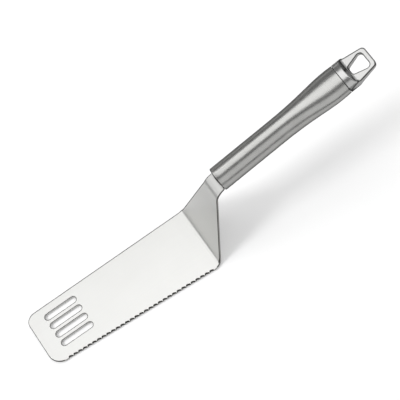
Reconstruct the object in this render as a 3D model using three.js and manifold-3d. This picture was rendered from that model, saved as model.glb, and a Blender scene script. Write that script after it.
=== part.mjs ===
// Perforated spatula: a cranked steel blade on a hollow steel handle that ends in a hanging loop.
// Millimetres. +X runs from the blade's tip towards the handle, +Y to the straight edge, +Z up.
// The origin is on the blade's underside, halfway along it, on the mid-plane of the handle.

import * as THREE from 'three';
import { mergeVertices } from 'three/addons/utils/BufferGeometryUtils.js';
import Module from 'manifold-3d';

const wasm = await Module();
wasm.setup();

// Blade: one sheet from the tip to the end of the tongue
const SHEET = 1.5;
const BLADE_LENGTH = 145;
const STRAIGHT_EDGE_OFFSET = 26.5;
const TIP_WIDTH = 48.5;
const REAR_WIDTH = 58.3;
const STRAIGHT_TIP_RADIUS = 8;
const SERRATED_TIP_RADIUS = 11;
const REAR_CORNER_SETBACK = 2.4;
const REAR_CORNER_RADIUS = 12;
const RISER_CORNER_RADIUS = 8;

// Drain slots, counted from the straight edge
const SLOT_COUNT = 4;
const SLOT_WIDTH = 5.3;
const SLOT_LENGTH = 28;
const SLOT_PITCH = 8.7;
const SLOT_TIP_MARGIN = 13;
const SLOT_EDGE_MARGIN = 10.1;

// Serrated edge: scallops ground at a slant, with a narrow land between them
const TOOTH_PITCH = 4.1;
const TOOTH_DEPTH = 0.8;
const TOOTH_LAND = 0.7;
const GRIND_ANGLE = 22;
const SERRATION_TIP_MARGIN = 11.7;
const SERRATION_REAR_MARGIN = 4;

// Crank: the riser between the two bends, then the neck and the tongue inside the handle.
// The lower bend is tight at the serrated edge and opens out towards the straight edge.
const RISE = 50.5;
const RISER_ANGLE = 63;
const LOWER_BEND_SERRATED_RADIUS = 2;
const LOWER_BEND_STRAIGHT_RADIUS = 7.5;
const UPPER_BEND_RADIUS = 12;
const UPPER_BEND_WIDTH = 19;
const NECK_CORNER_SETBACK = 2.1;
const NECK_STRAIGHT = 0.3;
const NECK_WIDTH = 17.6;
const NECK_FILLET_RADIUS = 3;
const TONGUE_LENGTH = 36;
const TONGUE_WIDTH = 12;

// Handle tube: a straight round grip that widens into an oval towards the rear
const HANDLE_PITCH = 8.9;
const TANG_DROP = 2.4;
const TUBE_LENGTH = 116.5;
const TUBE_WALL = 1;
const GRIP_RADIUS = 9.8;
const GRIP_LENGTH = 56;
const SWELL_HALF_WIDTH = 13.4;
const SWELL_HALF_HEIGHT = 9.3;
const SWELL_POSITION = 108;
const SWELL_START_EASE = 0.5;
const SWELL_END_EASE = 0.25;
const REAR_HALF_WIDTH = 13.15;
const REAR_HALF_HEIGHT = 9.1;
const RIM_RADIUS = 0.8;

// Front plug and the weld beads behind it
const PLUG_LENGTH = 5;
const WELD_LEG = 2;
const WELD_LENGTH = 8;

// End cap: an oval band that tapers from its shoulders into a flat loop behind it
const CAP_LENGTH = 27.5;
const BAND_LENGTH = 5.1;
const BAND_SLANT = 1.6;
const SHOULDER_LENGTH = 8.5;
const SHOULDER_HALF_WIDTH = 12.5;
const LOOP_TIP_HALF_WIDTH = 9.4;
const LOOP_TIP_RADIUS = 3;
const LOOP_TOP = 1.75;
const LOOP_BASE_THICKNESS = 4.3;
const LOOP_TIP_THICKNESS = 3;
const LOOP_UNDERSIDE_SHARE = 0.9;
const LOOP_FILLET_RADIUS = 2;
const HOLE_START = 8.5;
const HOLE_END = 23.9;
const HOLE_NARROW_HALF_WIDTH = 3.7;
const HOLE_WIDE_HALF_WIDTH = 8;
const HOLE_NARROW_RADIUS = 2;
const HOLE_WIDE_RADIUS = 3;
const SPIGOT_LENGTH = 8;
const SPIGOT_WALL = 2;

// Clearance between pieces that seat on each other, and how far cutting shapes run past a face
const SEAT_GAP = 0.3;
const CUT_MARGIN = 5;

// Fineness of round forms
const ARC_STEP = Math.PI / 16;
const ROUND_SEGMENTS = 44;
const SWELL_STEPS = 12;
const CLOSING_STEPS = 4;
const RIM_STEPS = 3;
const SCALLOP_STEPS = 6;
const SAME_POINT = 1e-6;

// Places that follow from the sizes above
const TIP_X = -BLADE_LENGTH / 2;
const BEND_X = BLADE_LENGTH / 2;
const riserAngle = THREE.MathUtils.degToRad(RISER_ANGLE);
const handlePitch = THREE.MathUtils.degToRad(HANDLE_PITCH);
const handleAxis = new THREE.Vector2(Math.cos(handlePitch), Math.sin(handlePitch));
const handleUp = new THREE.Vector2(-handleAxis.y, handleAxis.x);
const upperBend = new THREE.Vector2(BEND_X + RISE / Math.tan(riserAngle), SHEET / 2 + RISE);
const upperBendReach = (UPPER_BEND_RADIUS + SHEET / 2) * Math.tan((riserAngle - handlePitch) / 2);
const neckEnd = upperBend.clone().addScaledVector(handleAxis, upperBendReach + NECK_STRAIGHT);
const tongueEnd = neckEnd.clone().addScaledVector(handleAxis, TONGUE_LENGTH);
const handleFront = neckEnd.clone().addScaledVector(handleUp, TANG_DROP);
const neckCornerX = upperBend.x - NECK_CORNER_SETBACK;
const serratedTip = new THREE.Vector2(TIP_X, STRAIGHT_EDGE_OFFSET - TIP_WIDTH);
const serratedRear = new THREE.Vector2(BEND_X - REAR_CORNER_SETBACK, STRAIGHT_EDGE_OFFSET - REAR_WIDTH);
const CAP_START = TUBE_LENGTH + SEAT_GAP;

function steel(color, roughness) {
  return new THREE.MeshStandardMaterial({ color, roughness, metalness: 1 });
}

const satinSteel = steel(0xe6e6e3, 0.3);
const brushedSteel = steel(0xa9a9a5, 0.38);
const polishedSteel = steel(0xc4c4c0, 0.18);
const weldSteel = steel(0x8c8a86, 0.6);

// Closed outline through corners [x, y, radius], each rounded by its own radius
function roundedOutline(corners) {
  const points = [];
  corners.forEach(([x, y, radius = 0], index) => {
    const corner = new THREE.Vector2(x, y);
    const before = new THREE.Vector2(...corners.at(index - 1)).sub(corner).normalize();
    const after = new THREE.Vector2(...corners[(index + 1) % corners.length]).sub(corner).normalize();
    const turn = Math.PI - Math.acos(THREE.MathUtils.clamp(before.dot(after), -1, 1));
    const start = corner.clone().addScaledVector(before, radius * Math.tan(turn / 2));
    const side = Math.sign(after.cross(before));
    const centre = new THREE.Vector2(before.y, -before.x).multiplyScalar(side * radius).add(start);
    const spoke = start.clone().sub(centre);
    const steps = radius > 0 ? Math.ceil(turn / ARC_STEP) : 0;
    for (let k = 0; k <= steps; k += 1) {
      const angle = steps > 0 ? (side * turn * k) / steps : 0;
      points.push(spoke.clone().rotateAround(new THREE.Vector2(), angle).add(centre));
    }
  });
  return points.filter((point, index) => point.distanceTo(points.at(index - 1)) > SAME_POINT);
}

// Outline of a strip of one thickness along a path of corners [x, y, inside radius]
function stripOutline(path, thickness) {
  const half = thickness / 2;
  const left = [];
  const right = [];
  path.forEach(([x, y, inside = 0], index) => {
    const here = new THREE.Vector2(x, y);
    const arriving = index > 0 ? here.clone().sub(new THREE.Vector2(...path[index - 1])).normalize() : null;
    const leaving = index < path.length - 1
      ? new THREE.Vector2(...path[index + 1]).sub(here).normalize()
      : null;
    const first = arriving ?? leaving;
    const last = leaving ?? arriving;
    const bisector = first.clone().add(last).normalize();
    const reach = half / bisector.dot(first);
    const normal = new THREE.Vector2(-bisector.y, bisector.x).multiplyScalar(reach);
    const bent = inside > 0;
    const turnsLeft = first.cross(last) > 0;
    left.push([x + normal.x, y + normal.y, bent ? inside + (turnsLeft ? 0 : thickness) : 0]);
    right.push([x - normal.x, y - normal.y, bent ? inside + (turnsLeft ? thickness : 0) : 0]);
  });
  return roundedOutline([...right, ...left.reverse()]);
}

function extruded(points, depth, holes = []) {
  const shape = new THREE.Shape(points);
  holes.forEach((hole) => shape.holes.push(new THREE.Path(hole)));
  return new THREE.ExtrudeGeometry(shape, { depth, bevelEnabled: false });
}

// Prism standing along Z on an outline in X and Y
function upright(points, low, high, holes = []) {
  return extruded(points, high - low, holes).translate(0, 0, low);
}

// Prism lying along Y on an outline in X and Z, centred on the mid-plane
function crosswise(points, width) {
  return extruded(points, width).translate(0, 0, -width / 2).rotateX(Math.PI / 2);
}

// Solid along Y between two outlines in X and Z that have matching points
function lofted(near, far, nearY, farY) {
  const count = near.length;
  const ends = [...near.map(({ x, y }) => [x, nearY, y]), ...far.map(({ x, y }) => [x, farY, y])];
  const nearFaces = THREE.ShapeUtils.triangulateShape(near, []);
  const farFaces = THREE.ShapeUtils.triangulateShape(far, [])
    .map(([a, b, c]) => [count + a, count + c, count + b]);
  const sides = near.map((_, index) => {
    const next = (index + 1) % count;
    return [index, count + next, next, index, count + index, count + next];
  });
  const geometry = new THREE.BufferGeometry();
  geometry.setAttribute('position', new THREE.Float32BufferAttribute(ends.flat(), 3));
  geometry.setIndex([...nearFaces, ...farFaces, ...sides].flat());
  return geometry;
}

// Skin about X through rings of position, half-width and half-height
function ovalTurned(rings) {
  const outline = rings.map((_, index) => new THREE.Vector2(1, index));
  const geometry = new THREE.LatheGeometry(outline, ROUND_SEGMENTS);
  const place = geometry.attributes.position;
  for (let k = 0; k < place.count; k += 1) {
    const [position, halfWidth, halfHeight] = rings[Math.round(place.getY(k))];
    place.setXYZ(k, position, -halfWidth * place.getX(k), halfHeight * place.getZ(k));
  }
  return geometry;
}

// Round form of the same kind, from points of position and radius
function turned(profile) {
  return ovalTurned(profile.map(([position, radius]) => [position, radius, radius]));
}

function merged(geometry) {
  geometry.deleteAttribute('normal');
  geometry.deleteAttribute('uv');
  return mergeVertices(geometry);
}

function solidOf(geometry) {
  const closed = merged(geometry);
  return new wasm.Manifold(new wasm.Mesh({
    numProp: 3,
    vertProperties: new Float32Array(closed.attributes.position.array),
    triVerts: new Uint32Array(closed.index.array),
  }));
}

function geometryOf(solid) {
  const { vertProperties, triVerts } = solid.getMesh();
  const geometry = new THREE.BufferGeometry();
  geometry.setAttribute('position', new THREE.BufferAttribute(vertProperties, 3));
  geometry.setIndex(new THREE.BufferAttribute(triVerts, 1));
  geometry.computeVertexNormals();
  return geometry;
}

function piece(name, geometry, material) {
  const mesh = new THREE.Mesh(geometry, material);
  mesh.name = name;
  return mesh;
}

// The bent sheet seen from the side
function crankOutline(lowerBendRadius) {
  return stripOutline([
    [TIP_X - CUT_MARGIN, SHEET / 2],
    [BEND_X, SHEET / 2, lowerBendRadius],
    [upperBend.x, upperBend.y, UPPER_BEND_RADIUS],
    [tongueEnd.x, tongueEnd.y],
  ], SHEET);
}

// The same sheet seen from above. One rounded corner leads from the serrated edge into the riser.
function planOutline() {
  const shoulderX = neckEnd.x - (SEAT_GAP + (SHEET / 2) * Math.tan(handlePitch)) / handleAxis.x;
  const pastTongue = tongueEnd.x + CUT_MARGIN;
  return roundedOutline([
    [serratedTip.x, serratedTip.y, SERRATED_TIP_RADIUS],
    [serratedRear.x, serratedRear.y, REAR_CORNER_RADIUS],
    [neckCornerX, -UPPER_BEND_WIDTH / 2, NECK_FILLET_RADIUS],
    [shoulderX, -NECK_WIDTH / 2],
    [shoulderX, -TONGUE_WIDTH / 2],
    [pastTongue, -TONGUE_WIDTH / 2],
    [pastTongue, TONGUE_WIDTH / 2],
    [shoulderX, TONGUE_WIDTH / 2],
    [shoulderX, NECK_WIDTH / 2],
    [neckCornerX, UPPER_BEND_WIDTH / 2, NECK_FILLET_RADIUS],
    [BEND_X, STRAIGHT_EDGE_OFFSET, RISER_CORNER_RADIUS],
    [TIP_X, STRAIGHT_EDGE_OFFSET, STRAIGHT_TIP_RADIUS],
  ]);
}

function slotOutline(index) {
  const start = TIP_X + SLOT_TIP_MARGIN;
  const centre = STRAIGHT_EDGE_OFFSET - SLOT_EDGE_MARGIN - index * SLOT_PITCH;
  const radius = SLOT_WIDTH / 2;
  return roundedOutline([
    [start, centre - radius, radius],
    [start + SLOT_LENGTH, centre - radius, radius],
    [start + SLOT_LENGTH, centre + radius, radius],
    [start, centre + radius, radius],
  ]);
}

// All the scallops of the serrated edge as one cutting shape
function serrationCutter() {
  const edge = serratedRear.clone().sub(serratedTip);
  const toothedLength = edge.length() - SERRATION_TIP_MARGIN - SERRATION_REAR_MARGIN;
  const count = Math.floor(toothedLength / TOOTH_PITCH);
  const halfChord = (TOOTH_PITCH - TOOTH_LAND) / 2;
  const scallops = Array.from({ length: count }, (_, index) => {
    const middle = SERRATION_TIP_MARGIN + (index + 0.5) * TOOTH_PITCH;
    const scallop = new THREE.Shape();
    scallop.moveTo(middle - halfChord, -CUT_MARGIN);
    scallop.lineTo(middle + halfChord, -CUT_MARGIN);
    scallop.lineTo(middle + halfChord, 0);
    scallop.quadraticCurveTo(middle, 2 * TOOTH_DEPTH, middle - halfChord, 0);
    return scallop;
  });
  const cutter = new THREE.ExtrudeGeometry(scallops, {
    depth: SHEET + 2 * CUT_MARGIN,
    bevelEnabled: false,
    curveSegments: SCALLOP_STEPS,
  });
  return cutter
    .translate(0, 0, -CUT_MARGIN)
    .rotateX(-THREE.MathUtils.degToRad(GRIND_ANGLE))
    .rotateZ(edge.angle())
    .translate(serratedTip.x, serratedTip.y, 0);
}

function makeBlade() {
  const width = Math.max(REAR_WIDTH, TIP_WIDTH, UPPER_BEND_WIDTH, NECK_WIDTH);
  const top = tongueEnd.y + CUT_MARGIN;
  const slots = Array.from({ length: SLOT_COUNT }, (_, index) => slotOutline(index));
  const sheet = solidOf(lofted(
    crankOutline(LOWER_BEND_SERRATED_RADIUS),
    crankOutline(LOWER_BEND_STRAIGHT_RADIUS),
    STRAIGHT_EDGE_OFFSET - width - CUT_MARGIN,
    STRAIGHT_EDGE_OFFSET + CUT_MARGIN,
  ));
  const plan = solidOf(upright(planOutline(), -CUT_MARGIN, top, slots));
  const blade = sheet.intersect(plan).subtract(solidOf(serrationCutter()));
  return piece('blade', geometryOf(blade), satinSteel);
}

// Position and half-size from the grip to the rear of the tube, for its width or its height
function swellCurve(grip, swell, rear) {
  const run = SWELL_POSITION - GRIP_LENGTH;
  const swelling = new THREE.CubicBezierCurve(
    new THREE.Vector2(GRIP_LENGTH, grip),
    new THREE.Vector2(GRIP_LENGTH + run * SWELL_START_EASE, grip),
    new THREE.Vector2(SWELL_POSITION - run * SWELL_END_EASE, swell),
    new THREE.Vector2(SWELL_POSITION, swell),
  );
  const closing = new THREE.QuadraticBezierCurve(
    new THREE.Vector2(SWELL_POSITION, swell),
    new THREE.Vector2((SWELL_POSITION + TUBE_LENGTH) / 2, swell),
    new THREE.Vector2(TUBE_LENGTH, rear),
  );
  return [...swelling.getPoints(SWELL_STEPS), ...closing.getPoints(CLOSING_STEPS).slice(1)];
}

// Rings along the tube behind its straight grip, set in from the outside
function tubeRings(inset) {
  const grip = GRIP_RADIUS - inset;
  const widths = swellCurve(grip, SWELL_HALF_WIDTH - inset, REAR_HALF_WIDTH - inset);
  const heights = swellCurve(grip, SWELL_HALF_HEIGHT - inset, REAR_HALF_HEIGHT - inset);
  return widths.map((point, index) => [point.x, point.y, heights[index].y]);
}

function makeTube() {
  const rim = Array.from({ length: RIM_STEPS + 1 }, (_, k) => {
    const angle = (k / RIM_STEPS) * (Math.PI / 2);
    const radius = GRIP_RADIUS - RIM_RADIUS * (1 - Math.sin(angle));
    return [RIM_RADIUS * (1 - Math.cos(angle)), radius, radius];
  });
  const bore = GRIP_RADIUS - TUBE_WALL;
  const mouth = [0, bore, bore];
  const rings = [mouth, ...rim, ...tubeRings(0), ...tubeRings(TUBE_WALL).reverse(), mouth];
  return piece('handle_tube', merged(ovalTurned(rings)), brushedSteel);
}

function makePlug() {
  const radius = GRIP_RADIUS - TUBE_WALL - SEAT_GAP;
  const disc = solidOf(turned([[0, 0], [0, radius], [PLUG_LENGTH, radius], [PLUG_LENGTH, 0]]));
  const halfWidth = TONGUE_WIDTH / 2 + SEAT_GAP;
  const low = -TANG_DROP - SHEET / 2 - SEAT_GAP;
  const high = -TANG_DROP + SHEET / 2 + SEAT_GAP;
  const slot = upright(roundedOutline([
    [-CUT_MARGIN, -halfWidth],
    [PLUG_LENGTH + CUT_MARGIN, -halfWidth],
    [PLUG_LENGTH + CUT_MARGIN, halfWidth],
    [-CUT_MARGIN, halfWidth],
  ]), low, high);
  return piece('front_plug', geometryOf(disc.subtract(solidOf(slot))), brushedSteel);
}

// Fillet bead in the corner between the tongue and the back of the plug, above or below the tongue
function makeWeld(name, side) {
  const x = PLUG_LENGTH + SEAT_GAP;
  const z = -TANG_DROP + side * (SHEET / 2 + SEAT_GAP);
  const corners = [[x, z], [x + WELD_LEG, z], [x, z + side * WELD_LEG]];
  const bead = crosswise(roundedOutline(side > 0 ? corners : corners.reverse()), WELD_LENGTH);
  return piece(name, merged(bead), weldSteel);
}

function makeCap() {
  const end = CAP_START + CAP_LENGTH;
  const bandEnd = CAP_START + BAND_LENGTH;
  const loopStart = bandEnd + BAND_SLANT;
  const shoulder = CAP_START + SHOULDER_LENGTH;
  const holeStart = CAP_START + HOLE_START;
  const holeEnd = CAP_START + HOLE_END;
  const wide = REAR_HALF_WIDTH + CUT_MARGIN;
  const tall = REAR_HALF_HEIGHT + CUT_MARGIN;
  const body = ovalTurned([
    [CAP_START, 0, 0],
    [CAP_START, REAR_HALF_WIDTH, REAR_HALF_HEIGHT],
    [end, REAR_HALF_WIDTH, REAR_HALF_HEIGHT],
    [end, 0, 0],
  ]);
  const hole = roundedOutline([
    [holeStart, -HOLE_NARROW_HALF_WIDTH, HOLE_NARROW_RADIUS],
    [holeEnd, -HOLE_WIDE_HALF_WIDTH, HOLE_WIDE_RADIUS],
    [holeEnd, HOLE_WIDE_HALF_WIDTH, HOLE_WIDE_RADIUS],
    [holeStart, HOLE_NARROW_HALF_WIDTH, HOLE_NARROW_RADIUS],
  ]);
  const plan = upright(roundedOutline([
    [CAP_START, -REAR_HALF_WIDTH],
    [shoulder, -SHOULDER_HALF_WIDTH],
    [end, -LOOP_TIP_HALF_WIDTH, LOOP_TIP_RADIUS],
    [end, LOOP_TIP_HALF_WIDTH, LOOP_TIP_RADIUS],
    [shoulder, SHOULDER_HALF_WIDTH],
    [CAP_START, REAR_HALF_WIDTH],
  ]), -tall, tall, [hole]);
  const side = crosswise(roundedOutline([
    [CAP_START, -tall],
    [bandEnd, -tall],
    [bandEnd, -REAR_HALF_HEIGHT],
    [loopStart, LOOP_TOP - LOOP_BASE_THICKNESS, LOOP_FILLET_RADIUS],
    [end, LOOP_TOP - LOOP_TIP_THICKNESS, LOOP_TIP_THICKNESS * LOOP_UNDERSIDE_SHARE],
    [end, LOOP_TOP],
    [loopStart, LOOP_TOP, LOOP_FILLET_RADIUS],
    [bandEnd, REAR_HALF_HEIGHT],
    [bandEnd, tall],
    [CAP_START, tall],
  ]), 2 * wide);
  const spigotInset = TUBE_WALL + SEAT_GAP;
  const spigotStart = TUBE_LENGTH - SPIGOT_LENGTH;
  const spigotEnd = CAP_START + BAND_LENGTH / 2;
  const spigotRing = (x, inset) => [x, REAR_HALF_WIDTH - inset, REAR_HALF_HEIGHT - inset];
  const spigot = ovalTurned([
    spigotRing(spigotStart, spigotInset + SPIGOT_WALL),
    spigotRing(spigotStart, spigotInset),
    spigotRing(spigotEnd, spigotInset),
    spigotRing(spigotEnd, spigotInset + SPIGOT_WALL),
    spigotRing(spigotStart, spigotInset + SPIGOT_WALL),
  ]);
  const head = solidOf(body).intersect(solidOf(plan)).intersect(solidOf(side));
  return piece('end_cap', geometryOf(head.add(solidOf(spigot))), polishedSteel);
}

const handle = new THREE.Group();
handle.position.set(handleFront.x, 0, handleFront.y);
handle.rotation.y = -handlePitch;
handle.add(makeTube(), makePlug(), makeCap());
handle.add(makeWeld('tang_weld_upper', 1), makeWeld('tang_weld_lower', -1));

const spatula = new THREE.Group();
spatula.name = 'perforated_spatula';
spatula.add(makeBlade(), handle);

export default spatula;
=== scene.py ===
import bpy
import math
import numpy as np
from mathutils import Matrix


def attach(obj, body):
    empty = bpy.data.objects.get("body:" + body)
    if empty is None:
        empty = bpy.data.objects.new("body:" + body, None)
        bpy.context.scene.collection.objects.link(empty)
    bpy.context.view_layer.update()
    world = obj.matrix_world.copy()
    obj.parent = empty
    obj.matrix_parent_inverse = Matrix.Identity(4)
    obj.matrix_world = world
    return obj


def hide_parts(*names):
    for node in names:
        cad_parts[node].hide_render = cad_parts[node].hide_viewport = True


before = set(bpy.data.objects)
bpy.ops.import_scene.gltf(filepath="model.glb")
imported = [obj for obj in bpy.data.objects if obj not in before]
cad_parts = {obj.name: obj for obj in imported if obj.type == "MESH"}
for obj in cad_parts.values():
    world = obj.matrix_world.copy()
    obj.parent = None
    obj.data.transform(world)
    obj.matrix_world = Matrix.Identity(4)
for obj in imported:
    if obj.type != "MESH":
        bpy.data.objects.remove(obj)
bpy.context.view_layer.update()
mm = 0.001
scene = bpy.context.scene
scene.view_settings.view_transform = "Standard"

# camera: long lens, looking down on the blade from its serrated side
cameraView = {
    "place": (0.00724984, -0.80490298, 1.45329473),  # metres
    "turn": (26.4761, 14.3483, -32.0277),  # degrees
    "lens": 198,
    "sensor": 36,
}


def makeCamera(view):
    data = bpy.data.cameras.new("productCamera")
    data.lens = view["lens"]
    data.sensor_width = view["sensor"]
    camera = bpy.data.objects.new("productCamera", data)
    camera.location = view["place"]
    camera.rotation_euler = [math.radians(angle) for angle in view["turn"]]
    scene.collection.objects.link(camera)
    scene.camera = camera


makeCamera(cameraView)
print("camera placed")


# shared helpers

def linear(hexColour):  # sRGB hex to the linear colour the shader wants
    parts = [int(hexColour[k:k + 2], 16) / 255 for k in (1, 3, 5)]
    return [c / 12.92 if c <= 0.04045 else ((c + 0.055) / 1.055) ** 2.4 for c in parts] + [1]


def addNode(tree, kind, settings=None, values=None, links=None):
    node = tree.nodes.new(kind)
    for key, value in (settings or {}).items():
        setattr(node, key, value)
    for key, value in (values or {}).items():
        node.inputs[key].default_value = value
    for key, source in (links or {}).items():
        tree.links.new(source, node.inputs[key])
    return node


def meshPiece(name, points, faces, materials, finishes=None):  # points in millimetres
    mesh = bpy.data.meshes.new(name)
    mesh.from_pydata([tuple(p) for p in np.asarray(points) * mm], [], faces)
    for material in materials:
        mesh.materials.append(material)
    if finishes is not None:
        mesh.polygons.foreach_set("material_index", finishes)
    mesh.validate()
    mesh.polygons.foreach_set("use_smooth", [True] * len(mesh.polygons))
    piece = bpy.data.objects.new(name, mesh)
    scene.collection.objects.link(piece)
    return piece


def settle(piece):  # bakes the modifiers into a plain mesh
    depsgraph = bpy.context.evaluated_depsgraph_get()
    mesh = bpy.data.meshes.new_from_object(piece.evaluated_get(depsgraph), depsgraph=depsgraph)
    piece.modifiers.clear()
    piece.data = mesh


def flatNormals(piece):  # wide flats keep their own normal and the small rounds bend to them
    weighted = piece.modifiers.new("flatNormals", "WEIGHTED_NORMAL")
    weighted.mode = "FACE_AREA"
    weighted.keep_sharp = True


def declare(piece, slot, *nodes):
    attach(piece, "root")
    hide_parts(*nodes)
    print(piece.name, len(piece.data.polygons), "faces")


def roundedLine(corners, closed, step=math.radians(4)):  # corners (x, y, radius) to a polyline
    points = []
    count = len(corners)
    for index, corner in enumerate(corners):
        here = np.array(corner[:2], float)
        radius = corner[2] if len(corner) > 2 else 0
        if radius == 0 or (not closed and index in (0, count - 1)):
            points.append(here)
            continue
        before = np.array(corners[index - 1][:2], float) - here
        after = np.array(corners[(index + 1) % count][:2], float) - here
        before /= np.linalg.norm(before)
        after /= np.linalg.norm(after)
        turn = math.pi - math.acos(np.clip(before @ after, -1, 1))
        start = here + before * radius * math.tan(turn / 2)
        side = np.sign(after[0] * before[1] - after[1] * before[0])
        centre = start + side * radius * np.array([before[1], -before[0]])
        spoke = start - centre
        steps = max(2, math.ceil(turn / step))
        for k in range(steps + 1):
            angle = side * turn * k / steps
            c, s = math.cos(angle), math.sin(angle)
            points.append(centre + [c * spoke[0] - s * spoke[1], s * spoke[0] + c * spoke[1]])
    return np.array(points)


def ringFaces(ringCount, ringSize, wrap):  # quads between rings that lie one after another
    faces = []
    for r in range(ringCount if wrap else ringCount - 1):
        a, b = r * ringSize, (r + 1) % ringCount * ringSize
        for k in range(ringSize):
            n = (k + 1) % ringSize
            faces.append((a + k, a + n, b + n, b + k))
    return faces


# materials

satinSteel = bpy.data.materials.new("satin polished stainless sheet")
brushedSteel = bpy.data.materials.new("brushed stainless tube")
polishedSteel = bpy.data.materials.new("polished stainless casting")
groundAndShadeSteel = bpy.data.materials.new("wheel-ground stainless edge with painted shade")
shearedSteel = bpy.data.materials.new("sheared stainless edge")
edgeShadeSteel = bpy.data.materials.new("painted edge shade on stainless")
turnedSteel = bpy.data.materials.new("turned stainless plug")
weldSteel = bpy.data.materials.new("stainless weld bead")

handlePitch = math.radians(8.9)

# grain is the size of a mark in millimetres along x, y and z, and cloud the size of a soft patch
# real polishing and brushing lines are about 0.05 mm wide, so they are drawn some 20 times coarser to show
metalLooks = [
    # satin sheet: long faint polishing lines in a nearly white, slightly clouded sheen
    {"material": satinSteel, "dark": "#cbcbc9", "light": "#d4d4d2", "rough": (0.29, 0.34),
     "grain": (125, 1.11, 125), "cloud": 25, "turn": 0, "bump": 0.004, "edge": "#ffffff"},
    # sheared edge: the duller side of the sheet where it was cut
    {"material": shearedSteel, "dark": "#969593", "light": "#a8a7a5", "rough": (0.34, 0.46),
     "grain": (8.33, 0.625, 0.625), "cloud": 5, "turn": 0, "bump": 0.05, "edge": "#808080"},
    # painted edge shade: a near-black band on the rounded edges that draws the dark line of shade and dark
    # reflection round the sheet
    {"material": edgeShadeSteel, "dark": "#3c3b3a", "light": "#504f4e", "rough": (0.36, 0.48),
     "grain": (8.33, 0.625, 0.625), "cloud": 5, "turn": 0, "bump": 0.05, "edge": "#606060"},
    # brushed tube: short strokes along the grip, softer and greyer than the sheet
    {"material": brushedSteel, "dark": "#a1a19f", "light": "#bcbcba", "rough": (0.22, 0.34),
     "grain": (40, 0.833, 0.833), "cloud": 11.1, "turn": handlePitch, "bump": 0.03, "edge": "#4a4a4a"},
    # polished casting: soft clear reflections with a little ripple
    {"material": polishedSteel, "dark": "#b2b2b1", "light": "#c0c0bf", "rough": (0.22, 0.30),
     "grain": (4.55, 4.55, 4.55), "cloud": 11.1, "turn": handlePitch, "bump": 0.01, "edge": "#808080"},
    # ground scallops: coarse wheel marks that stay dull, toned dark as painted shade for the shadow along the
    # serrated edge
    {"material": groundAndShadeSteel, "dark": "#32312f", "light": "#555452", "rough": (0.34, 0.48),
     "grain": (0.385, 3.33, 3.33), "cloud": 3.33, "turn": 0, "bump": 0.15, "edge": "#808080"},
    # turned plug: plain machined face
    {"material": turnedSteel, "dark": "#5c5b59", "light": "#6e6d6a", "rough": (0.30, 0.42),
     "grain": (1.11, 1.11, 1.11), "cloud": 11.1, "turn": handlePitch, "bump": 0.05, "edge": "#a0a0a0"},
    # weld bead: dull, with straw and blue heat tint
    {"material": weldSteel, "dark": "#6b6672", "light": "#8f866f", "rough": (0.45, 0.65),
     "grain": (2, 2, 2), "cloud": 3.33, "turn": handlePitch, "bump": 0.3, "edge": "#a0a0a0"},
]


def dressMetal(look):
    material = look["material"]
    material.use_nodes = True
    tree = material.node_tree
    shader = tree.nodes["Principled BSDF"]
    shader.inputs["Metallic"].default_value = 1
    shader.inputs["Specular Tint"].default_value = linear(look["edge"])
    repeats = [1 / (length * mm) for length in look["grain"]]
    place = addNode(tree, "ShaderNodeTexCoord")
    grain = addNode(tree, "ShaderNodeMapping", values={"Rotation": (0, look["turn"], 0), "Scale": repeats},
                    links={"Vector": place.outputs["Object"]})
    marks = addNode(tree, "ShaderNodeTexNoise", values={"Scale": 1, "Detail": 3, "Roughness": 0.6},
                    links={"Vector": grain.outputs["Vector"]})
    cloud = addNode(tree, "ShaderNodeTexNoise", values={"Scale": 1 / (look["cloud"] * mm), "Detail": 2},
                    links={"Vector": place.outputs["Object"]})
    blend = addNode(tree, "ShaderNodeMix", values={0: 0.5},
                    links={2: marks.outputs["Fac"], 3: cloud.outputs["Fac"]})
    tone = addNode(tree, "ShaderNodeMix", {"data_type": "RGBA"},
                   values={6: linear(look["dark"]), 7: linear(look["light"])}, links={0: blend.outputs[0]})
    rough = addNode(tree, "ShaderNodeMapRange", links={"Value": marks.outputs["Fac"]},
                    values={"To Min": look["rough"][0], "To Max": look["rough"][1]})
    bump = addNode(tree, "ShaderNodeBump", values={"Strength": look["bump"], "Distance": 0.1 * mm},
                   links={"Height": marks.outputs["Fac"]})
    tree.links.new(tone.outputs[2], shader.inputs["Base Color"])
    tree.links.new(rough.outputs["Result"], shader.inputs["Roughness"])
    tree.links.new(bump.outputs["Normal"], shader.inputs["Normal"])


for look in metalLooks:
    dressMetal(look)
print("materials made:", len(metalLooks))


def darken(material, level):  # multiplies the metal's tone by a level from 0 to 1
    tree = material.node_tree
    base = tree.nodes["Principled BSDF"].inputs["Base Color"]
    worn = addNode(tree, "ShaderNodeMix", {"data_type": "RGBA", "blend_type": "MULTIPLY"}, values={0: 1},
                   links={6: base.links[0].from_socket, 7: level})
    tree.links.new(worn.outputs[2], base)


# painted shade along the sheet: its tone is darkened in the bends and beside the tube, where shade and the
# tube's contact shadow fall, and set a little lighter or darker elsewhere
sheetShadeLevels = {  # millimetres from the blade's middle: level of the painted shade, 1 for none
    -72.5: 0.98, 0: 0.97, 60: 0.97, 72.5: 0.94, 75: 1, 80: 0.98, 91: 0.88, 94.5: 0.9,
    96: 1, 97.5: 0.95, 99: 0.7, 102.5: 0.8, 104: 0.62, 105: 0.45,
}


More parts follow.
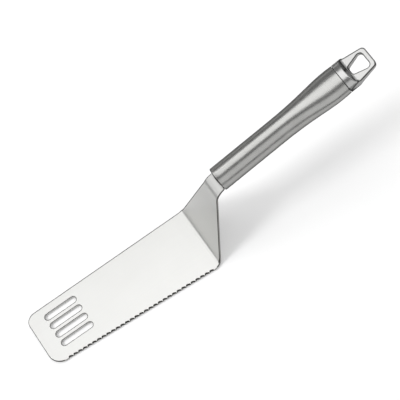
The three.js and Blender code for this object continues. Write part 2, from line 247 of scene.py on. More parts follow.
def paintBendShade():
    tree = satinSteel.node_tree
    first, last = min(sheetShadeLevels), max(sheetShadeLevels)
    place = addNode(tree, "ShaderNodeTexCoord")
    parts = addNode(tree, "ShaderNodeSeparateXYZ", links={"Vector": place.outputs["Object"]})
    share = addNode(tree, "ShaderNodeMapRange", values={"From Min": first * mm, "From Max": last * mm},
                    links={"Value": parts.outputs["X"]})
    curve = addNode(tree, "ShaderNodeFloatCurve", links={"Value": share.outputs["Result"]})
    points = curve.mapping.curves[0].points
    points[0].location = (0, sheetShadeLevels[first])
    points[1].location = (1, sheetShadeLevels[last])
    for x, level in sheetShadeLevels.items():
        if first < x < last:
            points.new((x - first) / (last - first), level)
    for point in points:
        point.handle_type = "VECTOR"
    curve.mapping.update()
    darken(satinSteel, curve.outputs["Value"])


edgeShadeLevel = 0.18  # tone of the painted shade on the casting's edges, creases and recess, against its polished faces


def paintEdgeShade():  # painted shade: the edges, creases and recess marked on the casting's mesh are darkened
    tree = polishedSteel.node_tree
    edgeShade = addNode(tree, "ShaderNodeAttribute", {"attribute_name": "paintedEdgeShade"})
    level = addNode(tree, "ShaderNodeMapRange", values={"To Min": 1, "To Max": edgeShadeLevel},
                    links={"Value": edgeShade.outputs["Fac"]})
    darken(polishedSteel, level.outputs["Result"])


paintBendShade()
paintEdgeShade()


# blade: a bent blank with rounded edges, then slots and scallops cut by Geometry Nodes
bladeSize = {  # millimetres and degrees
    "sheet": 1.5, "tip": -72.5, "bend": 72.5, "rise": 50.5, "riserAngle": 63,
    "lowerBend": (2, 7.5), "lowerBendAt": (-36.8, 31.5), "upperBend": 12,
    "straightEdge": 26.5, "serratedTip": -22, "serratedRear": (70.1, -31.8),
    "tipRounds": (8, 11), "rearRound": 12, "riserRound": 8,
    "neckCorner": 2.1, "neckStraight": 0.3, "bendHalf": 9.5, "neckHalf": 8.8, "neckRound": 3,
    "shoulderGap": 0.42, "shoulderStep": 0.3, "tongueHalf": 6, "tongueLength": 36,
    "edgeRounds": (0.4, 0.7), "edgeBands": (0.05, 0.16),  # other edges, then the straight edge
    "straightFacing": (0.55, 0.9), "serratedFacing": -0.97, "riserDarkFrom": -0.8,
    "bendShadeWedge": 1.1, "bendShadeWedgeSpan": (-0.6, 0.6, 4.5),
    "slotCount": 4, "slotWidth": 5.1, "slotLength": 27.7, "slotPitch": 8.7,
    "slotMiddle": -45.5, "slotFirst": 16.4, "slotRound": 0.22, "slotShadeBand": 0.55, "slotDip": 0.04,
    "scallopPitch": 4.1, "scallopDepth": 0.8, "scallopLand": 0.55, "scallopSlant": 26, "scallopLean": 0.6,
    "scallopMargins": (11.7, 4), "crease": 35,
}
bladeRows = {  # how closely the blank is divided along its length
    "tipZone": 13, "tipRows": 26, "plainRow": 18, "rearZone": 15, "rearStep": 0.8, "rearGap": 0.5,
    "bendMargin": 0.4, "bendRows": 41, "riserRows": 40, "neckRows": 28, "shoulderLead": 1.2, "tongueRows": 12,
}
size = bladeSize
half = size["sheet"] / 2
riserAngle = math.radians(size["riserAngle"])
upperX = size["bend"] + size["rise"] / math.tan(riserAngle)
upperZ = half + size["rise"]
lowerAt = size["bend"] - size["tip"]  # the two bends' corners, measured along the sheet from the tip
upperAt = lowerAt + size["rise"] / math.sin(riserAngle)
upperRadius = size["upperBend"] + half
upperReach = upperRadius * math.tan((riserAngle - handlePitch) / 2)
neckLength = upperReach + size["neckStraight"]
neckX = upperX + neckLength * math.cos(handlePitch)
tongueX = neckX + size["tongueLength"] * math.cos(handlePitch)


def onSheet(flat, through):  # distance along the sheet, y and height through the sheet to a point
    u, y = flat.T
    radius = np.interp(y, size["lowerBendAt"], size["lowerBend"]) + half
    reach = radius * math.tan(riserAngle / 2)
    lower = np.clip((u - lowerAt + reach) / (2 * reach), 0, 1) * riserAngle
    upper = np.clip((u - upperAt + upperReach) / (2 * upperReach), 0, 1) * (riserAngle - handlePitch)
    riser = np.clip(u, lowerAt + reach, upperAt - upperReach) - lowerAt - reach
    neck = np.maximum(u - upperAt - upperReach, 0)
    slope = lower - upper
    turned = riserAngle - upper
    x = (size["tip"] + np.minimum(u, lowerAt - reach) + radius * np.sin(lower) + riser * math.cos(riserAngle)
         + upperRadius * (math.sin(riserAngle) - np.sin(turned)) + neck * math.cos(handlePitch))
    z = (half + radius * (1 - np.cos(lower)) + riser * math.sin(riserAngle)
         + upperRadius * (np.cos(turned) - math.cos(riserAngle)) + neck * math.sin(handlePitch))
    return np.column_stack([x - np.sin(slope) * through, y, z + np.cos(slope) * through])


def bladeOutline():  # the two long edges in plan, tip to tongue
    cornerX = upperX - size["neckCorner"]
    shoulderX = neckX - size["shoulderGap"]
    ends = [(shoulderX, size["neckHalf"]), (shoulderX + size["shoulderStep"], size["tongueHalf"]),
            (tongueX, size["tongueHalf"])]
    straightSide = roundedLine([
        (size["tip"], 0), (size["tip"], size["straightEdge"], size["tipRounds"][0]),
        (size["bend"], size["straightEdge"], size["riserRound"]),
        (cornerX, size["bendHalf"], size["neckRound"]), *ends], False)
    serratedSide = roundedLine([
        (size["tip"], 0), (size["tip"], size["serratedTip"], size["tipRounds"][1]),
        (*size["serratedRear"], size["rearRound"]),
        (cornerX, -size["bendHalf"], size["neckRound"]), *[(x, -y) for x, y in ends]], False)
    return straightSide[1:], serratedSide[1:]


def stations():  # rows of the blank: close together at the round tip, the corners and the bends
    rows = bladeRows
    total = upperAt + neckLength + size["tongueLength"]
    bendReach = (max(size["lowerBend"]) + half) * math.tan(riserAngle / 2) + rows["bendMargin"]
    shoulderAt = upperAt + neckLength - size["shoulderGap"] / math.cos(handlePitch)
    return np.sort(np.concatenate([
        rows["tipZone"] * (1 - np.cos(np.linspace(0, math.pi / 2, rows["tipRows"]))), [rows["plainRow"]],
        np.arange(lowerAt - rows["rearZone"], lowerAt - bendReach - rows["rearGap"], rows["rearStep"]),
        np.linspace(lowerAt - bendReach, lowerAt + bendReach, rows["bendRows"]),
        np.linspace(lowerAt + bendReach, upperAt - upperReach, rows["riserRows"])[1:-1],
        np.linspace(upperAt - upperReach, shoulderAt - rows["shoulderLead"], rows["neckRows"]),
        [shoulderAt, shoulderAt + size["shoulderStep"] / math.cos(handlePitch)],
        np.linspace(upperAt + upperReach, total, rows["tongueRows"])[1:]]))


def edgeLine(s, outline):  # follows one plan edge up the bent sheet, closing in on it in a few passes
    edge = np.column_stack([s, np.zeros(len(s))])
    for _ in range(6):
        edge[:, 1] = np.interp(onSheet(edge, 0)[:, 0], *outline.T)
    return edge


def makeBlank(columns=8, roundSteps=4):
    straightSide, serratedSide = bladeOutline()
    s = stations()
    left, right = edgeLine(s, straightSide), edgeLine(s, serratedSide)
    across = np.linspace(0, 1, columns + 1)[1:-1, None]
    tipLine = right[0] + (left[0] - right[0]) * across
    endLine = left[-1] + (right[-1] - left[-1]) * across
    edge = np.vstack([left, endLine, right[::-1], tipLine])
    ahead = np.roll(edge, -1, 0) - edge
    ahead /= np.linalg.norm(ahead, axis=1)[:, None]
    along = ahead + np.roll(ahead, 1, 0)
    along /= np.linalg.norm(along, axis=1)[:, None]
    outward = np.column_stack([-along[:, 1], along[:, 0]])

    pastBend = edge[:, 0] - lowerAt
    straight = np.interp(outward[:, 1], size["straightFacing"], (0, 1))  # 1 along the straight edge
    edgeShade = outward[:, 1] > size["serratedFacing"]  # every edge but the serrated one gets the painted edge shade
    edgeShade |= pastBend > size["riserDarkFrom"]
    radius = np.interp(straight, (0, 1), size["edgeRounds"])
    shadeWedge = np.interp(pastBend, size["bendShadeWedgeSpan"], (0, size["bendShadeWedge"], 0))  # painted shadow wedge: the dark band widens at the tight bend, on the serrated side
    band = np.interp(straight, (0, 1), size["edgeBands"]) + shadeWedge * (outward[:, 1] < 0)
    sweep = np.linspace(0, math.pi / 2, roundSteps + 1)
    levels = [(radius + band, half)]
    levels += [(radius * (1 - math.sin(a)), half - radius * (1 - math.cos(a))) for a in sweep]
    levels += [(inset, -through) for inset, through in reversed(levels)]
    rings = [onSheet(edge - outward * inset[:, None], through) for inset, through in levels]
    points = list(np.vstack(rings))
    count = len(edge)
    faces = ringFaces(len(rings), count, False)
    side = roundSteps + 1  # the ring of faces on the cut side of the sheet
    finishes = [1 if ring == side else 2 * int(dark) for ring in range(len(rings) - 1) for dark in edgeShade]

    rows = len(s)
    inner = edge - outward * (radius + band)[:, None]
    for ring, through, flip in ((0, half, False), (len(rings) - 1, -half, True)):  # top and underside
        base = ring * count
        index = np.zeros((rows, columns + 1), int)
        index[:, 0] = base + np.arange(rows)
        index[:, -1] = base + np.arange(rows + columns - 1, 2 * rows + columns - 1)[::-1]
        index[-1, 1:-1] = base + np.arange(rows, rows + columns - 1)
        index[0, 1:-1] = base + np.arange(2 * rows + columns - 1, count)[::-1]
        for row in range(1, rows - 1):
            a, b = inner[index[row, 0] - base], inner[index[row, -1] - base]
            fill = onSheet(a + (b - a) * across, through)
            index[row, 1:-1] = len(points) + np.arange(columns - 1)
            points.extend(fill)
        for row in range(rows - 1):
            for k in range(columns):
                face = (index[row, k], index[row, k + 1], index[row + 1, k + 1], index[row + 1, k])
                faces.append(tuple(int(v) for v in (face[::-1] if flip else face)))
                finishes.append(0)
    return meshPiece("blade_sheet", points, faces, [satinSteel, shearedSteel, edgeShadeSteel], finishes)


def makeSlotCutter(steps=16, roundSteps=4, past=1):  # a long slot that flares at both faces of the sheet
    radius = size["slotWidth"] / 2
    reach = size["slotLength"] / 2 - radius
    turn = np.linspace(-math.pi / 2, math.pi / 2, steps + 1)
    flare, top = size["slotRound"], size["sheet"] - size["slotDip"]
    sweep = np.linspace(0, math.pi / 2, roundSteps + 1)
    levels = [(top - flare * (1 - math.sin(a)), flare * (1 - math.cos(a))) for a in sweep]
    over = 0.02  # the shallow band runs a hair past the face so that it cuts cleanly
    levels += [(z, flare + size["slotShadeBand"]) for z in (size["sheet"] + over, size["sheet"] + past)]
    levels = [(size["sheet"] - z, wide) for z, wide in reversed(levels)] + levels
    rings = []
    for z, wide in levels:
        ax, ay = (radius + wide) * np.cos(turn), (radius + wide) * np.sin(turn)
        ax, ay = np.concatenate([reach + ax, -reach - ax]), np.concatenate([ay, -ay])
        rings.append(np.column_stack([ax, ay, np.full(len(ax), z)]))
    count = len(rings[0])
    faces = ringFaces(len(rings), count, False)
    faces += [tuple(range(count))[::-1], tuple(range((len(rings) - 1) * count, len(rings) * count))]
    finishes = []  # satin walls, duller rounds and a band of painted shade round the mouth
    for (_, a), (_, b) in zip(levels, levels[1:]):
        finishes += [0 if a + b == 0 else 1 if max(a, b) <= flare else 2] * count
    return meshPiece("slotCutter", np.vstack(rings), faces, [satinSteel, shearedSteel, edgeShadeSteel],
                     finishes + [0, 0])


def makeScallopCutter(angle, steps=12, past=3):  # one hollow ground at a slant into the edge
    reach = (size["scallopPitch"] - size["scallopLand"]) / 2
    u = np.linspace(reach, -reach, steps + 1)
    share = (u / reach + 1) / 2
    hollow = np.column_stack([u, size["scallopDepth"] * np.sin(math.pi * share ** size["scallopLean"])])
    outline = np.vstack([[(-reach, -past), (reach, -past)], hollow])
    c, s = math.cos(angle), math.sin(angle)
    rings = []
    for z in (-past, size["sheet"] + past):
        x, y = (outline + [0, z * math.tan(math.radians(size["scallopSlant"]))]).T
        rings.append(np.column_stack([x * c - y * s, x * s + y * c, np.full(len(x), z)]))
    count = len(outline)
    faces = ringFaces(2, count, False)
    faces += [tuple(range(count))[::-1], tuple(range(count, 2 * count))]
    return meshPiece("scallopCutter", np.vstack(rings), faces, [groundAndShadeSteel])


def cutsTree():
    tree = bpy.data.node_groups.new("slotsAndScallops", "GeometryNodeTree")
    inputs = {
        "Blank": "Geometry", "Slot Cutter": "Object", "Slot Count": "Int", "First Slot": "Vector",
        "Slot Step": "Vector", "Scallop Cutter": "Object", "Scallop Count": "Int", "First Scallop": "Vector",
        "Scallop Step": "Vector", "Sheet Finish": "Material", "Ground Finish": "Material",
        "Edge Finish": "Material", "Corner Finish": "Material", "Crease": "Float"}
    for name, kind in inputs.items():
        tree.interface.new_socket(name, in_out="INPUT", socket_type="NodeSocket" + kind)
    tree.interface.new_socket("Blade", in_out="OUTPUT", socket_type="NodeSocketGeometry")
    given = addNode(tree, "NodeGroupInput").outputs
    cutters = []
    for kind in ("Slot", "Scallop"):
        row = addNode(tree, "GeometryNodeMeshLine", {"mode": "OFFSET"}, links={
            "Count": given[kind + " Count"], "Start Location": given["First " + kind],
            "Offset": given[kind + " Step"]})
        shape = addNode(tree, "GeometryNodeObjectInfo", links={"Object": given[kind + " Cutter"]})
        placed = addNode(tree, "GeometryNodeInstanceOnPoints", links={
            "Points": row.outputs["Mesh"], "Instance": shape.outputs["Geometry"]})
        cutters.append(addNode(tree, "GeometryNodeRealizeInstances",
                               links={"Geometry": placed.outputs["Instances"]}))
    cut = addNode(tree, "GeometryNodeMeshBoolean", {"operation": "DIFFERENCE", "solver": "EXACT"},
                  links={"Mesh 1": given["Blank"]})
    for cutter in cutters:
        tree.links.new(cutter.outputs["Geometry"], cut.inputs["Mesh 2"])
    real = addNode(tree, "GeometryNodeRealizeInstances", links={"Geometry": cut.outputs["Mesh"]})
    angle = addNode(tree, "GeometryNodeInputMeshEdgeAngle")
    crease = addNode(tree, "FunctionNodeCompare", {"operation": "GREATER_THAN"}, links={
        0: angle.outputs["Unsigned Angle"], 1: given["Crease"]})
    smooth = addNode(tree, "GeometryNodeSetShadeSmooth", {"domain": "EDGE"}, values={"Shade Smooth": False},
                     links={"Geometry": real.outputs["Geometry"], "Selection": crease.outputs["Result"]})
    # the Corner Finish socket carries the painted edge shade
    ground, edge, corner = [
        addNode(tree, "GeometryNodeMaterialSelection", links={"Material": given[name + " Finish"]})
        for name in ("Ground", "Edge", "Corner")]
    either = addNode(tree, "FunctionNodeBooleanMath", {"operation": "OR"}, links={
        0: ground.outputs["Selection"], 1: edge.outputs["Selection"]})
    plain = addNode(tree, "FunctionNodeBooleanMath", {"operation": "NOR"}, links={
        0: either.outputs["Boolean"], 1: corner.outputs["Selection"]})
    finish = addNode(tree, "GeometryNodeSetMaterial", links={
        "Geometry": smooth.outputs["Geometry"], "Selection": plain.outputs["Boolean"],
        "Material": given["Sheet Finish"]})
    addNode(tree, "NodeGroupOutput", links={"Blade": finish.outputs["Geometry"]})
    return tree


def makeBlade():
    blade = makeBlank()
    start = np.array([size["tip"], size["serratedTip"]])
    edge = np.array(size["serratedRear"]) - start
    length = np.linalg.norm(edge)
    edge /= length
    pitch = size["scallopPitch"]
    count = int((length - sum(size["scallopMargins"])) // pitch)
    first = start + edge * (size["scallopMargins"][0] + pitch / 2)
    slotCutter = makeSlotCutter()
    scallopCutter = makeScallopCutter(math.atan2(edge[1], edge[0]))
    modifier = blade.modifiers.new("slotsAndScallops", "NODES")
    modifier.node_group = cutsTree()
    given = {
        "Slot Cutter": slotCutter, "Slot Count": size["slotCount"],
        "First Slot": (size["slotMiddle"] * mm, size["slotFirst"] * mm, 0),
        "Slot Step": (0, -size["slotPitch"] * mm, 0),
        "Scallop Cutter": scallopCutter, "Scallop Count": count,
        "First Scallop": (first[0] * mm, first[1] * mm, 0),
        "Scallop Step": (edge[0] * pitch * mm, edge[1] * pitch * mm, 0),
        "Sheet Finish": satinSteel, "Ground Finish": groundAndShadeSteel, "Edge Finish": shearedSteel,
        "Corner Finish": edgeShadeSteel, "Crease": math.radians(size["crease"]),
    }
    for socket in modifier.node_group.interface.items_tree:
        if socket.name in given:
            modifier[socket.identifier] = given[socket.name]
    flatNormals(blade)
    settle(blade)
    for cutter in (slotCutter, scallopCutter):
        bpy.data.objects.remove(cutter)
    print("blade cut:", size["slotCount"], "slots and", count, "scallops")
    declare(blade, "satin_sheet", "blade")


makeBlade()


# handle: everything on it is made along +X from the tube's front and then tilted into place
tubeSize = {  # millimetres
    "drop": 2.4, "length": 116.5, "wall": 1, "grip": 9.8, "gripLength": 56,
    "swell": (13.4, 9.3), "swellAt": 108, "startEase": 0.5, "endEase": 0.25, "rear": (13.15, 9.1),
    "frontRim": 0.8, "rearRim": 0.25, "mouth": (0.3, 0.1), "rimShadeRings": 3,  # the first rings are the cut rim
    "gripInset": 4, "gripRows": 14, "segments": 128,
}
frontX = neckX - tubeSize["drop"] * math.sin(handlePitch)
frontZ = upperZ + neckLength * math.sin(handlePitch) + tubeSize["drop"] * math.cos(handlePitch)


def onHandle(points):
    x, y, z = np.asarray(points, float).T
    c, s = math.cos(handlePitch), math.sin(handlePitch)
    return np.column_stack([frontX + x * c - z * s, y, frontZ + x * s + z * c])


def ovalShell(rings, segments):  # rings of (position, half-width, half-height) about the handle axis
    angle = np.linspace(0, 2 * math.pi, segments, endpoint=False)
    loops = [np.column_stack([np.full(segments, x), wide * np.cos(angle), tall * np.sin(angle)])
             for x, wide, tall in rings]
    return np.vstack(loops), ringFaces(len(rings), segments, True)


def rimArc(centreX, edge, radius, fromAngle, toAngle, steps=5):  # rounded rim that ends on the given edge
    arc = []
    for a in np.linspace(math.radians(fromAngle), math.radians(toAngle), steps):
        inset = radius * (1 - math.sin(a))
        arc.append((centreX + radius * math.cos(a), edge[0] - inset, edge[1] - inset))
    return arc


def swellLine(inset, swellSteps=48, closingSteps=12):  # from the end of the straight grip to the rear
    tube = tubeSize
    run = tube["swellAt"] - tube["gripLength"]
    t = np.linspace(0, 1, swellSteps)[:, None]
    a = np.array([tube["gripLength"], tube["grip"], tube["grip"]])
    b = a + [run * tube["startEase"], 0, 0]
    d = np.array([tube["swellAt"], *tube["swell"]])
    c = d - [run * tube["endEase"], 0, 0]
    swell = a * (1 - t) ** 3 + 3 * b * t * (1 - t) ** 2 + 3 * c * t ** 2 * (1 - t) + d * t ** 3
    t = np.linspace(0, 1, closingSteps)[1:, None]
    e = np.array([(tube["swellAt"] + tube["length"]) / 2, *tube["swell"]])
    f = np.array([tube["length"], *tube["rear"]])
    closing = d * (1 - t) ** 2 + 2 * e * t * (1 - t) + f * t ** 2
    return [tuple(p - [0, inset, inset]) for p in np.vstack([swell, closing])]


def makeTube():
    tube = tubeSize
    grip, inset = tube["grip"], tube["gripInset"]
    bore = grip - tube["wall"]
    rim, rear = tube["frontRim"], tube["rearRim"]
    depth, flare = tube["mouth"]
    outside = rimArc(rim, (grip, grip), rim, 180, 90)
    outside += [(x, grip, grip) for x in np.linspace(inset, tube["gripLength"] - inset, tube["gripRows"])]
    outside += swellLine(0)[:-1]
    outside += rimArc(tube["length"] - rear, tube["rear"], rear, 90, 0)
    inside = swellLine(tube["wall"])[::-1]
    inside += [(inset, bore, bore), (depth, bore, bore), (0, bore + flare, bore + flare)]
    points, faces = ovalShell(outside + inside, tube["segments"])
    # the first rings, the cut rim at the mouth, take the painted edge shade for the dark gap round the tang
    rimShade = [int(index // tube["segments"] < tube["rimShadeRings"]) for index in range(len(faces))]
    piece = meshPiece("grip_tube", onHandle(points), faces, [brushedSteel, edgeShadeSteel], rimShade)
    declare(piece, "brushed_tube", "handle_tube")


makeTube()


# front plug: a turned disc with the slot for the tang
plugSize = {  # millimetres
    "length": 5, "radius": 8.5, "chamfer": 0.4, "dome": 1.1,
    "slotHalf": 6.3, "slotTall": 2.1, "slotChamfer": 0.25, "faceRows": 5, "points": 96,
}


def makePlug():
    plug = plugSize
    count = plug["points"]
    drop = tubeSize["drop"]
    angle = np.linspace(0, 2 * math.pi, count, endpoint=False)

    def circle(x, radius):
        return np.column_stack([np.full(count, x), radius * np.cos(angle), radius * np.sin(angle)])

    def slot(x, grow):
        w, h = plug["slotHalf"] + grow, plug["slotTall"] / 2 + grow
        corners = [(w, 0), (w, h), (-w, h), (-w, -h), (w, -h), (w, 0)]
        lengths = np.concatenate([[0], np.cumsum(np.linalg.norm(np.diff(corners, axis=0), axis=1))])
        at = np.linspace(0, lengths[-1], count, endpoint=False)
        y = np.interp(at, lengths, [p[0] for p in corners])
        z = np.interp(at, lengths, [p[1] for p in corners])
        return np.column_stack([np.full(count, x), y, z - drop])

    c, length, radius = plug["chamfer"], plug["length"], plug["radius"]
    mouth, rim = slot(0, plug["slotChamfer"]), circle(0, radius - c)
    front = [slot(plug["slotChamfer"], 0)]
    front += [mouth + (rim - mouth) * share for share in np.linspace(0, 1, plug["faceRows"])]
    for ring in front:  # the front face is gently domed
        ring[:, 0] -= plug["dome"] * (1 - (ring[:, 1] ** 2 + ring[:, 2] ** 2) / (radius - c) ** 2)
    rings = [slot(length, 0), *front,
             circle(c, radius), circle(length - c, radius), circle(length, radius - c)]
    faces = ringFaces(len(rings), count, True)
    piece = meshPiece("tang_plug", onHandle(np.vstack(rings)), faces, [turnedSteel])
    flatNormals(piece)
    settle(piece)
    declare(piece, "plain_plug", "front_plug")


makePlug()


# end cap: one rounded casting, meshed from the distance to its faces so that every edge flows
capSize = {  # millimetres
    "start": 116.8, "length": 27.5, "band": 5.1, "slant": 2.6, "oval": (13.15, 9.1),
    "shoulder": (8.5, 12.5), "shoulderRound": 12, "tipHalf": 9.4, "tipRound": 4,
    "top": 1.75, "baseThick": 5, "tipThick": 3, "underRound": 2.7, "fillet": 3,
    "recessRound": 2.8, "recessTurn": 0.97,  # the turn stops just short of a quarter circle
    "holeStart": 8.8, "holeEnd": 23.2, "holeNarrow": 3.7, "holeWide": 8, "holeRounds": (2, 3),
    "spigotFrom": 108.5, "spigotTo": 119, "spigotGap": 1.3, "spigotWall": 2,
    "edge": 1.1, "seamEdge": 0.4, "flankEdge": 0.3, "flankGrow": 0.3, "overrun": 5, "cell": 0.3,
}
capShadeMarks = {  # where painted shade darkens the casting's edges, creases and recess, in millimetres from its faces
    "edgeFade": (-0.9, -0.45), "rimTall": 3.5, "farRim": 0.45, "nearRim": 0.15, "tipRim": 2,
    "creaseFade": (-0.34, -0.16), "creaseDepth": -1,
    "recessShade": (-0.1, 0.6), "recessFace": -0.3, "recessGap": 0.2, "recessFade": (0.3, 1.5),
}


def outlineDistance(px, py, outline):  # signed distance to a closed outline, negative inside
    best = np.full(np.broadcast(px, py).shape, np.inf)
    inside = np.zeros(best.shape, bool)
    for (ax, ay), (bx, by) in zip(outline, np.roll(outline, -1, 0)):
        ex, ey = bx - ax, by - ay
        along = np.clip(((px - ax) * ex + (py - ay) * ey) / (ex * ex + ey * ey), 0, 1)
        best = np.minimum(best, (px - ax - along * ex) ** 2 + (py - ay - along * ey) ** 2)
        if ey != 0:
            inside ^= ((ay <= py) != (by <= py)) & (px < ax + (py - ay) * ex / ey)
    return np.where(inside, -1, 1) * np.sqrt(best)


def ovalDistance(y, z, a, b):  # close to the true distance near the surface
    grown = np.sqrt((y / a) ** 2 + (z / b) ** 2)
    return grown * (grown - 1) / np.maximum(np.sqrt((y / a ** 2) ** 2 + (z / b ** 2) ** 2), 1e-6)


def roundMax(a, b, k):  # keeps what both shapes share, with a rounded edge
    blend = np.maximum(k - np.abs(a - b), 0) / k
    return np.maximum(a, b) + blend * blend * k / 4


def capField():
    cap, shadeMarks = capSize, capShadeMarks
    start, end = cap["start"], cap["start"] + cap["length"]
    front = start - cap["overrun"]
    bandEnd = start + cap["band"]
    loopStart = bandEnd + cap["slant"]
    wide, high = cap["oval"]
    tall, grown = high + cap["overrun"], wide + cap["flankGrow"]
    top = cap["top"]
    low, tipLow = top - cap["baseThick"], top - cap["tipThick"]
    shoulderX, shoulder = start + cap["shoulder"][0], cap["shoulder"][1]
    plan = roundedLine([
        (front, -grown), (shoulderX, -shoulder, cap["shoulderRound"]),
        (end, -cap["tipHalf"], cap["tipRound"]), (end, cap["tipHalf"], cap["tipRound"]),
        (shoulderX, shoulder, cap["shoulderRound"]), (front, grown)], True)
    small, large = cap["holeRounds"]
    holeFrom, holeTo = start + cap["holeStart"], start + cap["holeEnd"]
    hole = roundedLine([
        (holeFrom, -cap["holeNarrow"], small), (holeTo, -cap["holeWide"], large),
        (holeTo, cap["holeWide"], large), (holeFrom, cap["holeNarrow"], small)], True)
    side = roundedLine([
        (front, -tall), (bandEnd, -tall), (bandEnd, -high), (loopStart, low, cap["fillet"]),
        (end, tipLow, cap["underRound"]), (end, top), (loopStart, top, cap["fillet"]),
        (bandEnd, high), (bandEnd, tall), (front, tall)], True)
    turn = cap["recessRound"]
    turnFrom = shoulder - turn  # beyond this the band's rear face curves back towards the loop
    gap, thick = cap["spigotGap"], cap["spigotWall"]
    spigotMiddle = (cap["spigotFrom"] + cap["spigotTo"]) / 2
    spigotReach = (cap["spigotTo"] - cap["spigotFrom"]) / 2

    def field(x, y, z, edges=False):
        past = np.clip(np.abs(y) - turnFrom, 0, cap["recessTurn"] * turn)
        back = turn - np.sqrt(turn * turn - past * past)
        oval, flank = ovalDistance(y, z, wide, high), outlineDistance(x, y, plan)
        around = roundMax(oval, flank, cap["flankEdge"])
        across = outlineDistance(x - back, z, side)
        through = -outlineDistance(x, y, hole)
        if edges:
            return paintedShade(x, y, z, oval, flank, around, across, through)
        head = roundMax(roundMax(around, across, cap["edge"]), through, cap["edge"])
        head = roundMax(head, start - x, cap["seamEdge"])
        spigot = roundMax(ovalDistance(y, z, wide - gap, high - gap),
                          -ovalDistance(y, z, wide - gap - thick, high - gap - thick), cap["edge"])
        spigot = roundMax(spigot, np.abs(x - spigotMiddle) - spigotReach, cap["edge"])
        return np.minimum(head, spigot)

    def paintedShade(x, y, z, oval, flank, around, across, through):  # 1 where painted shade darkens an edge, crease or recess
        thinner = np.where((y > 0) | (x > end - shadeMarks["tipRim"]), shadeMarks["farRim"], shadeMarks["nearRim"])
        meeting = np.max([np.minimum(around, across) + thinner, np.minimum(through, across),
                          np.minimum(start - x, around)], 0)  # near 0 where two faces meet
        rim = np.interp(meeting, shadeMarks["edgeFade"], (0, 1)) * (np.abs(z) < shadeMarks["rimTall"])
        crease = np.interp(np.minimum(oval, flank), shadeMarks["creaseFade"], (0, 1))
        crease *= (across < shadeMarks["creaseDepth"]) * (x > start)
        wall = (across > shadeMarks["recessFace"]) * (x > bandEnd + shadeMarks["recessGap"])
        wall = wall * np.interp(z, [top + rise for rise in shadeMarks["recessFade"]], (0, 1))
        recess = wall * np.interp(y, (-wide, wide), shadeMarks["recessShade"])  # painted shade in the recess, growing towards +y
        return np.max([rim, crease, recess], 0)

    return field


def skinOf(field, low, high, cell):  # one vertex in each cell that the surface crosses
    axes = [np.arange(a, b + cell, cell) for a, b in zip(low, high)]
    values = field(*np.meshgrid(*axes, indexing="ij", sparse=True))
    shape = np.array(values.shape)
    total = np.zeros((*shape, 3))
    hits = np.zeros(shape)
    quads = []
    unit = np.eye(3, dtype=int)
    for axis in range(3):
        b, c = unit[(axis + 1) % 3], unit[(axis + 2) % 3]
        near = np.take(values, range(shape[axis] - 1), axis)
        far = np.take(values, range(1, shape[axis]), axis)
        at = np.argwhere((near < 0) != (far < 0))
        v0, v1 = near[tuple(at.T)], far[tuple(at.T)]
        point = np.array(low) + (at + unit[axis] * (v0 / (v0 - v1))[:, None]) * cell
        cells = [at, at - b, at - b - c, at - c]
        for corner in cells:
            np.add.at(total, tuple(corner.T), point)
            np.add.at(hits, tuple(corner.T), 1)
        flat = np.stack([np.ravel_multi_index(tuple(corner.T), tuple(shape)) for corner in cells], 1)
        quads.append(np.where((v0 < 0)[:, None], flat, flat[:, ::-1]))
    used = np.flatnonzero(hits)
    points = total.reshape(-1, 3)[used] / hits.ravel()[used][:, None]
    number = np.zeros(hits.size, int)
    number[used] = np.arange(len(used))
    step = 0.01
    for _ in range(4):  # slides every vertex onto the exact surface
        here = field(*points.T)
        slope = np.stack([field(*(points + unit[k] * step).T) - field(*(points - unit[k] * step).T)
                          for k in range(3)], 1) / (2 * step)
        points -= slope * (here / np.maximum((slope ** 2).sum(1), 1e-6))[:, None]
    return points, number[np.vstack(quads)]


def makeCap(margin=1):
    cap = capSize
    wide, high = (reach + margin for reach in cap["oval"])
    field = capField()
    points, quads = skinOf(field, (cap["spigotFrom"] - margin, -wide, -high),
                           (cap["start"] + cap["length"] + margin, wide, high), cap["cell"])
    faces = [tuple(int(v) for v in quad) for quad in quads]
    piece = meshPiece("loop_cap", onHandle(points), faces, [polishedSteel])
    edgeShade = piece.data.attributes.new("paintedEdgeShade", "FLOAT", "POINT")
    edgeShade.data.foreach_set("value", field(*points.T, edges=True))
    declare(piece, "polished_casting", "end_cap")


makeCap()

for node in ("tang_weld_upper", "tang_weld_lower"):  # hidden beads keep their CAD shape
    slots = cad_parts[node].data.materials
    slots.clear()
    slots.append(weldSteel)
print("weld beads dressed")


# studio: white paper on a grey table in a grey room, a softbox overhead and dimmer panels round it
studio = {  # metres and watts
    "room": "#808080", "roomLevel": 1.0,
    "table": "#6e6e6e", "tableSize": 8, "tableDrop": 0.003,
    "paper": "#d8d8d8", "paperSize": 0.64, "paperMiddle": 0.09, "paperDrop": 0.0009,
    "backlight": 0.27, "mirroredGlow": 0.4,
    "lamps": [
        {"name": "overheadSoftbox", "place": (0.35, 0.29, 1.0), "aim": (0.35, 0.29, 0),
         "size": (1.14, 0.92), "power": 5.2},
        {"name": "frontFill", "place": (0.1, -1.3, 0.75), "aim": (0.1, 0, 0.07),
         "size": (2.2, 1.4), "power": 7.4},
        {"name": "leftPanel", "place": (-0.736, 0.466, 0.721), "aim": (0.05, 0, 0.03),
         "size": (1.3, 1.1), "power": 5.8},
        {"name": "rightFill", "place": (1.5, 0.3, 0.75), "aim": (0.2, 0, 0.07),
         "size": (1.6, 1.3), "power": 3},
        {"name": "backStrip", "place": (0.15, 1.4, 0.25), "aim": (0.15, 0, 0.07),
         "size": (2, 0.35), "power": 1.1},
        {"name": "shadowKey", "place": (-1.3, 0.25, 1.5), "aim": (0.1, 0, 0), "size": (0.6, 0.6),
         "power": 17, "mirrored": False},  # shapes the shadow on the paper and never shows in the metal
    ],
}


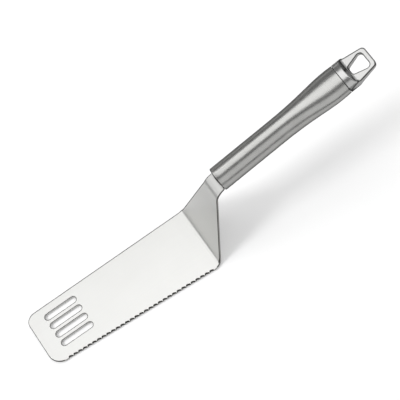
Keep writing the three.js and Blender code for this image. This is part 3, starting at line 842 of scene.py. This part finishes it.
def makeRoom():
    world = bpy.data.worlds.new("greyRoom")
    scene.world = world
    world.use_nodes = True
    back = world.node_tree.nodes["Background"]
    back.inputs["Color"].default_value = linear(studio["room"])
    back.inputs["Strength"].default_value = studio["roomLevel"]


def makeFloor():
    tableTop = bpy.data.materials.new("matt grey table")
    paper = bpy.data.materials.new("matt white paper")
    for material, colour in ((tableTop, studio["table"]), (paper, studio["paper"])):
        material.use_nodes = True
        shader = material.node_tree.nodes["Principled BSDF"]
        shader.inputs["Roughness"].default_value = 1
        shader.inputs["Specular IOR Level"].default_value = 0
        shader.inputs["Base Color"].default_value = linear(colour)
    tree = paper.node_tree
    shader = tree.nodes["Principled BSDF"]
    ray = addNode(tree, "ShaderNodeLightPath")  # the paper is lit from behind, less so where mirrored
    bounced = addNode(tree, "ShaderNodeMath", {"operation": "MAXIMUM"}, links={
        0: ray.outputs["Is Glossy Ray"], 1: ray.outputs["Is Transmission Ray"]})
    mirrored = addNode(tree, "ShaderNodeMath", {"operation": "MULTIPLY"}, values={1: studio["mirroredGlow"]},
                       links={0: bounced.outputs["Value"]})
    seen = addNode(tree, "ShaderNodeMath", {"operation": "MAXIMUM"}, links={
        0: ray.outputs["Is Camera Ray"], 1: mirrored.outputs["Value"]})
    glow = addNode(tree, "ShaderNodeMath", {"operation": "MULTIPLY"}, values={1: studio["backlight"]},
                   links={0: seen.outputs["Value"]})
    tree.links.new(glow.outputs["Value"], shader.inputs["Emission Strength"])
    shader.inputs["Emission Color"].default_value = linear("#ffffff")
    for name, material, across, middle, drop in (
            ("table", tableTop, studio["tableSize"], 0, studio["tableDrop"]),
            ("paper", paper, studio["paperSize"], studio["paperMiddle"], studio["paperDrop"])):
        corners = [(middle + x * across / 2, y * across / 2, -drop)
                   for x, y in ((-1, -1), (1, -1), (1, 1), (-1, 1))]
        meshPiece(name, np.array(corners) / mm, [(0, 1, 2, 3)], [material])


def makeLamp(lamp):
    data = bpy.data.lights.new(lamp["name"], "AREA")
    data.shape = "RECTANGLE"
    data.size, data.size_y = lamp["size"]
    data.energy = lamp["power"]
    light = bpy.data.objects.new(lamp["name"], data)
    light.location = lamp["place"]
    x, y, z = (a - p for a, p in zip(lamp["aim"], lamp["place"]))
    flat = math.hypot(x, y)
    heading = math.atan2(y, x) - math.pi / 2 if flat else 0
    light.rotation_euler = (math.atan2(flat, -z), 0, heading)
    light.visible_camera = False
    light.visible_glossy = lamp.get("mirrored", True)
    scene.collection.objects.link(light)


makeRoom()
makeFloor()
for lamp in studio["lamps"]:
    makeLamp(lamp)
print("studio lit:", len(studio["lamps"]), "lamps")
